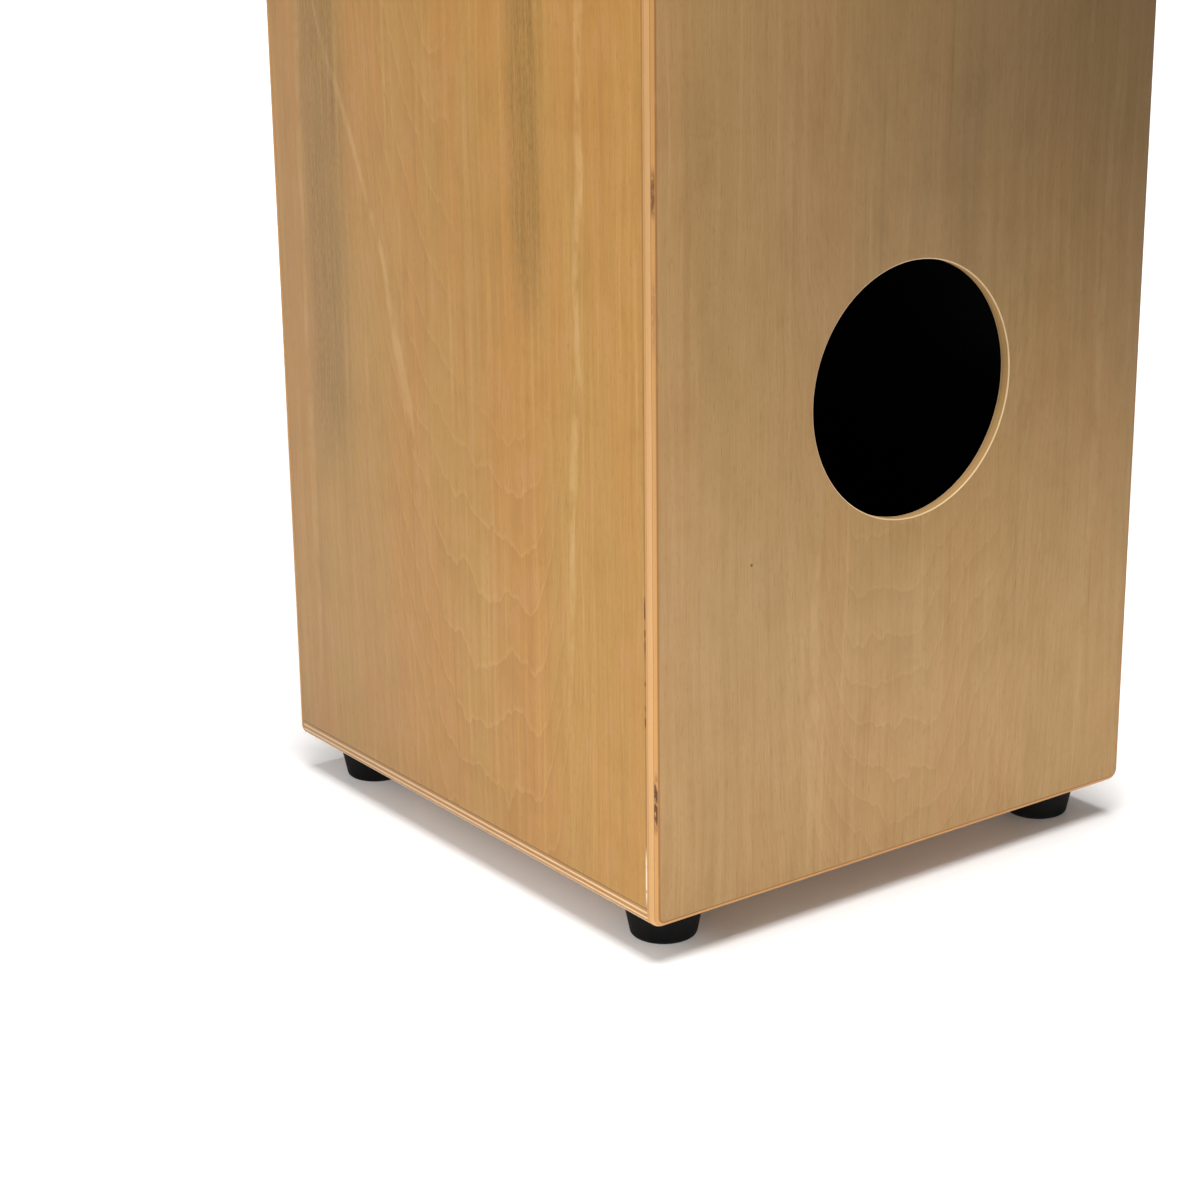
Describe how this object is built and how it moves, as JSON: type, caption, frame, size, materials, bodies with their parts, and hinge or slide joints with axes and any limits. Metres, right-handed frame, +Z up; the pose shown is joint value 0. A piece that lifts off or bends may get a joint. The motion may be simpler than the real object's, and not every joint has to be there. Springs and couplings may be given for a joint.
{
  "type": "cajon",
  "caption": "Plywood box drum on rubber feet, with a thin playing panel, a round rear sound hole and inner snare strings tensioned by bolts underneath.",
  "frame": {"origin": "on the floor under the middle of the box", "axes": "+Z up, playing panel facing -Y, sound hole facing +Y, +X towards the seated player's left hand"},
  "size_m": [0.3, 0.315, 0.48],
  "materials": {
    "side_veneer": "satin lacquered birch plywood",
    "rear_veneer": "satin lacquered birch plywood",
    "playing_veneer": "satin lacquered birch plywood",
    "batten_pine": "bare planed pine",
    "beech": "bare planed beech",
    "foot_rubber": "matt moulded rubber",
    "zinc_steel": "zinc plated",
    "black_steel": "black oxide",
    "carrier_brass": "machined",
    "string_steel": "drawn plain steel wire"
  },
  "bodies": {
    "box": {"left_side_panel": "side_veneer", "right_side_panel": "side_veneer", "top_panel": "side_veneer", "bottom_panel": "side_veneer", "rear_panel": "rear_veneer", "playing_panel": "playing_veneer", "front_left_batten": "batten_pine", "front_right_batten": "batten_pine", "front_top_batten": "batten_pine", "front_bottom_batten": "batten_pine", "rear_left_batten": "batten_pine", "rear_right_batten": "batten_pine", "rear_top_batten": "batten_pine", "rear_bottom_batten": "batten_pine", "top_left_strip": "batten_pine", "top_right_strip": "batten_pine", "bottom_left_strip": "batten_pine", "bottom_right_strip": "batten_pine", "front_left_foot": "foot_rubber", "front_right_foot": "foot_rubber", "rear_left_foot": "foot_rubber", "rear_right_foot": "foot_rubber", "foot_screws": "zinc_steel", "foot_washers": "zinc_steel", "playing_panel_screws": "black_steel", "string_anchor_bar": "beech", "anchor_screws": "zinc_steel", "upper_string_bridge": "beech", "lower_string_bridge": "beech", "tuner_block": "beech", "tuner_washers": "zinc_steel", "left_string": "string_steel", "right_string": "string_steel"},
    "left_tuner": {"left_tuning_bolt": "black_steel"},
    "right_tuner": {"right_tuning_bolt": "black_steel"},
    "left_carrier": {"left_string_carrier": "carrier_brass"},
    "right_carrier": {"right_string_carrier": "carrier_brass"}
  },
  "joints": [
    {"name": "left_carrier_slide", "type": "slide", "parent": "box", "child": "left_carrier", "axis": [0, 0, 1], "range_m": [0, 0.01], "deforming": ["left_string"]},
    {"name": "left_bolt_turn", "type": "hinge", "parent": "box", "child": "left_tuner", "pos_m": [0.045, -0.147, 0.027], "axis": [0, 0, -1], "range_deg": [0, 3600]},
    {"name": "right_carrier_slide", "type": "slide", "parent": "box", "child": "right_carrier", "axis": [0, 0, 1], "range_m": [0, 0.01], "deforming": ["right_string"]},
    {"name": "right_bolt_turn", "type": "hinge", "parent": "box", "child": "right_tuner", "pos_m": [-0.045, -0.147, 0.027], "axis": [0, 0, -1], "range_deg": [0, 3600]}
  ],
  "couplings": [
    {"joint": "left_bolt_turn", "follows": "left_carrier_slide", "rad_per_m": 6283.2},
    {"joint": "right_bolt_turn", "follows": "right_carrier_slide", "rad_per_m": 6283.2}
  ]
}
